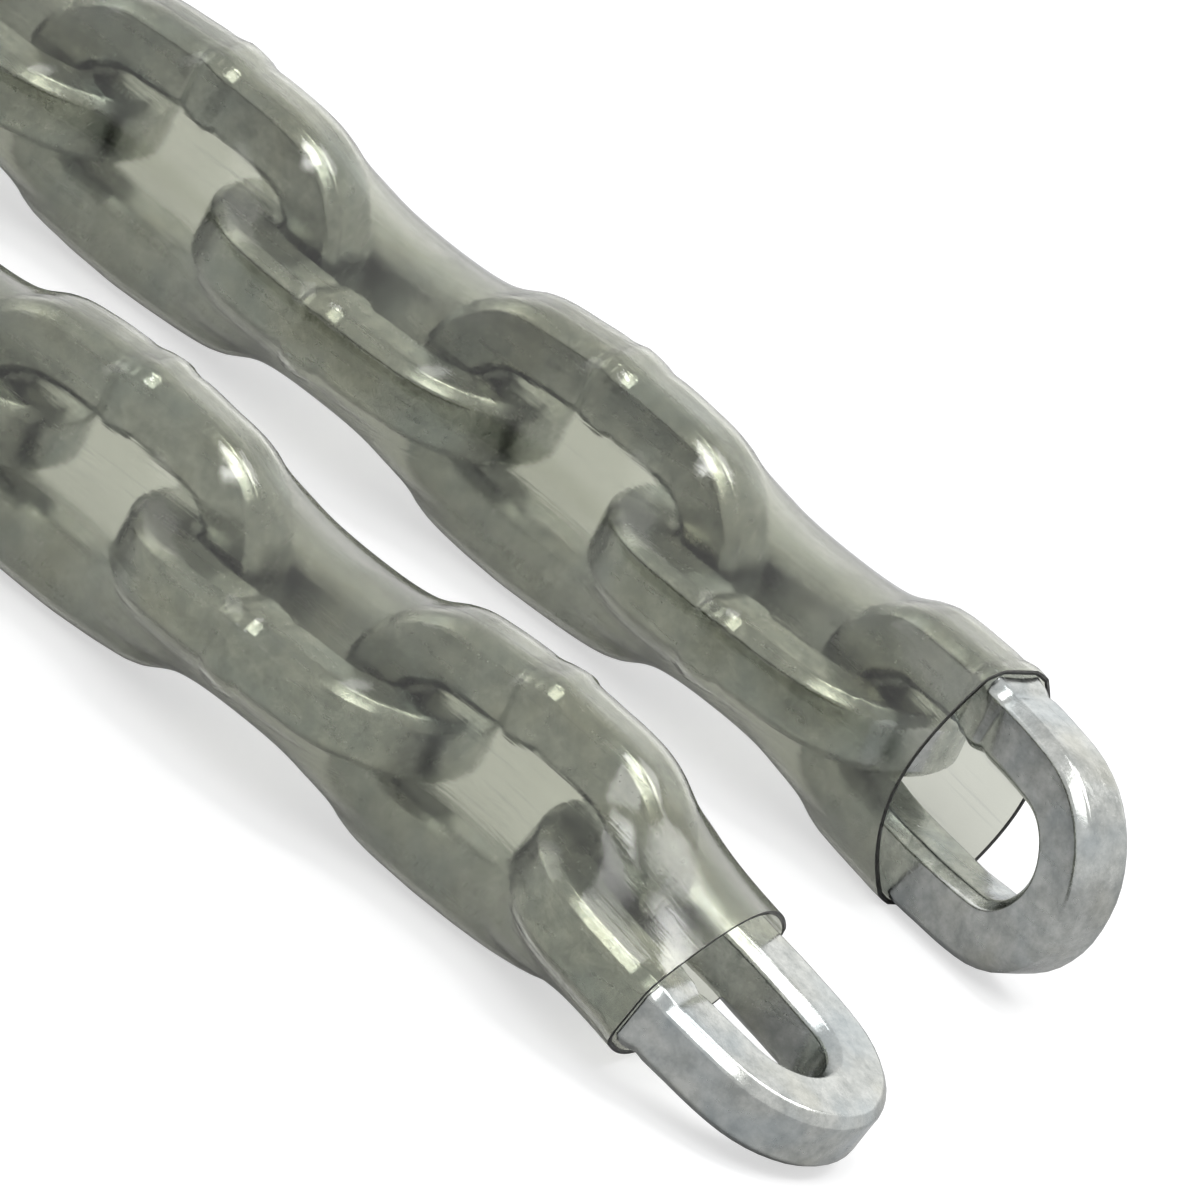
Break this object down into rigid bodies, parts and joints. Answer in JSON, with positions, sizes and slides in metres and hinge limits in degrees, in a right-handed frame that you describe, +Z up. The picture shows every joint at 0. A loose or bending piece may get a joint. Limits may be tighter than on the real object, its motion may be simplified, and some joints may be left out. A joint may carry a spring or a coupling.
{
  "type": "security chain",
  "caption": "Security chain of square welded steel links in a clear soft sleeve, folded back on itself, with an open eye at each end for a padlock",
  "frame": {"origin": "middle of the bottom of the box that holds the folded chain, on the surface it lies on", "axes": "+X along the two strands towards both ends of the chain, +Y towards the strand that link_01 ends, +Z up"},
  "size_m": [0.4582, 0.2036, 0.0398],
  "materials": {
    "zinc_plated_steel": "hardened steel with bright mottled zinc plating, bevelled edges and a weld on one side",
    "clear_sleeve": "soft clear PVC with a smoky grey-green tint, glossy, with fine scuffs along it"
  },
  "bodies": {
    "segment_12": {"link_12": "zinc_plated_steel", "sleeve_11": "clear_sleeve", "sleeve_12": "clear_sleeve"},
    "segment_11": {"link_11": "zinc_plated_steel", "sleeve_10": "clear_sleeve"},
    "segment_10": {"link_10": "zinc_plated_steel", "sleeve_09": "clear_sleeve"},
    "segment_09": {"link_09": "zinc_plated_steel", "sleeve_08": "clear_sleeve"},
    "segment_08": {"link_08": "zinc_plated_steel", "sleeve_07": "clear_sleeve"},
    "segment_07": {"link_07": "zinc_plated_steel", "sleeve_06": "clear_sleeve"},
    "segment_06": {"link_06": "zinc_plated_steel", "sleeve_05": "clear_sleeve"},
    "segment_05": {"link_05": "zinc_plated_steel", "sleeve_04": "clear_sleeve"},
    "segment_04": {"link_04": "zinc_plated_steel", "sleeve_03": "clear_sleeve"},
    "segment_03": {"link_03": "zinc_plated_steel", "sleeve_02": "clear_sleeve"},
    "segment_02": {"link_02": "zinc_plated_steel", "sleeve_01": "clear_sleeve"},
    "segment_01": {"link_01": "zinc_plated_steel"},
    "segment_13": {"link_13": "zinc_plated_steel", "sleeve_13": "clear_sleeve"},
    "segment_14": {"link_14": "zinc_plated_steel", "sleeve_14": "clear_sleeve"},
    "segment_15": {"link_15": "zinc_plated_steel", "sleeve_15": "clear_sleeve"},
    "segment_16": {"link_16": "zinc_plated_steel", "sleeve_16": "clear_sleeve"},
    "segment_17": {"link_17": "zinc_plated_steel", "sleeve_17": "clear_sleeve"},
    "segment_18": {"link_18": "zinc_plated_steel", "sleeve_18": "clear_sleeve"},
    "segment_19": {"link_19": "zinc_plated_steel", "sleeve_19": "clear_sleeve"},
    "segment_20": {"link_20": "zinc_plated_steel", "sleeve_20": "clear_sleeve"},
    "segment_21": {"link_21": "zinc_plated_steel", "sleeve_21": "clear_sleeve"},
    "segment_22": {"link_22": "zinc_plated_steel", "sleeve_22": "clear_sleeve"},
    "segment_23": {"link_23": "zinc_plated_steel", "sleeve_23": "clear_sleeve"},
    "segment_24": {"link_24": "zinc_plated_steel"}
  },
  "joints": [
    {"name": "swing_01", "type": "hinge", "parent": "segment_02", "child": "segment_01", "pos_m": [0.15971, 0.05425, 0.02011], "axis": [-0.1736, -0.9848, 0], "range_deg": [-30, 30], "deforming": ["sleeve_01"]},
    {"name": "swing_02", "type": "hinge", "parent": "segment_03", "child": "segment_02", "pos_m": [0.12074, 0.05639, 0.02011], "axis": [0, 0, -1], "range_deg": [-35, 35], "deforming": ["sleeve_02"]},
    {"name": "swing_03", "type": "hinge", "parent": "segment_04", "child": "segment_03", "pos_m": [0.08157, 0.05639, 0.02011], "axis": [0, -1, 0], "range_deg": [-30, 30], "deforming": ["sleeve_03"]},
    {"name": "swing_04", "type": "hinge", "parent": "segment_05", "child": "segment_04", "pos_m": [0.04241, 0.05639, 0.02011], "axis": [0, 0, -1], "range_deg": [-35, 17], "deforming": ["sleeve_04"]},
    {"name": "swing_05", "type": "hinge", "parent": "segment_06", "child": "segment_05", "pos_m": [0.00325, 0.05639, 0.02011], "axis": [0, -1, 0], "range_deg": [-30, 30], "deforming": ["sleeve_05"]},
    {"name": "swing_06", "type": "hinge", "parent": "segment_07", "child": "segment_06", "pos_m": [-0.03591, 0.05639, 0.02011], "axis": [0, 0, -1], "range_deg": [-20.6, 10], "deforming": ["sleeve_06"]},
    {"name": "swing_07", "type": "hinge", "parent": "segment_08", "child": "segment_07", "pos_m": [-0.07384, 0.06613, 0.02011], "axis": [-0.2487, -0.9686, 0], "range_deg": [-30, 30], "deforming": ["sleeve_07"]},
    {"name": "swing_08", "type": "hinge", "parent": "segment_09", "child": "segment_08", "pos_m": [-0.1093, 0.08212, 0.02011], "axis": [0, 0, -1], "range_deg": [-64.7, 5.3], "deforming": ["sleeve_08"]},
    {"name": "swing_09", "type": "hinge", "parent": "segment_10", "child": "segment_09", "pos_m": [-0.14846, 0.08151, 0.02011], "axis": [0.0157, -0.9999, 0], "range_deg": [-30, 30], "deforming": ["sleeve_09"]},
    {"name": "swing_10", "type": "hinge", "parent": "segment_11", "child": "segment_10", "pos_m": [-0.18388, 0.06766, 0.02011], "axis": [0, 0, -1], "range_deg": [-64.7, 5.3], "deforming": ["sleeve_10"]},
    {"name": "swing_11", "type": "hinge", "parent": "segment_12", "child": "segment_11", "pos_m": [-0.20329, 0.03364, 0.02011], "axis": [0.8686, -0.4955, 0], "range_deg": [-30, 30], "deforming": ["sleeve_11"]},
    {"name": "swing_13", "type": "hinge", "parent": "segment_12", "child": "segment_13", "pos_m": [-0.20427, -0.01512, 0.02011], "axis": [-0.9092, -0.4163, 0], "range_deg": [-30, 30], "deforming": ["sleeve_12"]},
    {"name": "swing_14", "type": "hinge", "parent": "segment_13", "child": "segment_14", "pos_m": [-0.18796, -0.05073, 0.02011], "axis": [0, 0, -1], "range_deg": [-5, 59.6], "deforming": ["sleeve_13"]},
    {"name": "swing_15", "type": "hinge", "parent": "segment_14", "child": "segment_15", "pos_m": [-0.15581, -0.0717, 0.02011], "axis": [-0.279, -0.9603, 0], "range_deg": [-30, 30], "deforming": ["sleeve_14"]},
    {"name": "swing_16", "type": "hinge", "parent": "segment_15", "child": "segment_16", "pos_m": [-0.1182, -0.08263, 0.02011], "axis": [0, 0, -1], "range_deg": [-6, 57.5], "deforming": ["sleeve_15"]},
    {"name": "swing_17", "type": "hinge", "parent": "segment_16", "child": "segment_17", "pos_m": [-0.08073, -0.07374, 0.02011], "axis": [0.4818, -0.8763, 0], "range_deg": [-30, 30], "deforming": ["sleeve_16"]},
    {"name": "swing_18", "type": "hinge", "parent": "segment_17", "child": "segment_18", "pos_m": [-0.04641, -0.05487, 0.02011], "axis": [0, 0, -1], "range_deg": [-9, 25.4], "deforming": ["sleeve_17"]},
    {"name": "swing_19", "type": "hinge", "parent": "segment_18", "child": "segment_19", "pos_m": [-0.00891, -0.04399, 0.02011], "axis": [0.1668, -0.986, 0], "range_deg": [-30, 30], "deforming": ["sleeve_18"]},
    {"name": "swing_20", "type": "hinge", "parent": "segment_19", "child": "segment_20", "pos_m": [0.0297, -0.03746, 0.02011], "axis": [0, 0, -1], "range_deg": [-13, 25.4], "deforming": ["sleeve_19"]},
    {"name": "swing_21", "type": "hinge", "parent": "segment_20", "child": "segment_21", "pos_m": [0.06887, -0.03746, 0.02011], "axis": [0, -1, 0], "range_deg": [-30, 30], "deforming": ["sleeve_20"]},
    {"name": "swing_22", "type": "hinge", "parent": "segment_21", "child": "segment_22", "pos_m": [0.10803, -0.03746, 0.02011], "axis": [0, 0, -1], "range_deg": [-24, 35], "deforming": ["sleeve_21"]},
    {"name": "swing_23", "type": "hinge", "parent": "segment_22", "child": "segment_23", "pos_m": [0.14719, -0.03746, 0.02011], "axis": [0, -1, 0], "range_deg": [-30, 30], "deforming": ["sleeve_22"]},
    {"name": "swing_24", "type": "hinge", "parent": "segment_23", "child": "segment_24", "pos_m": [0.18597, -0.03746, 0.01704], "axis": [-0.2487, 0, -0.9686], "range_deg": [-25, 45], "deforming": ["sleeve_23"]}
  ]
}
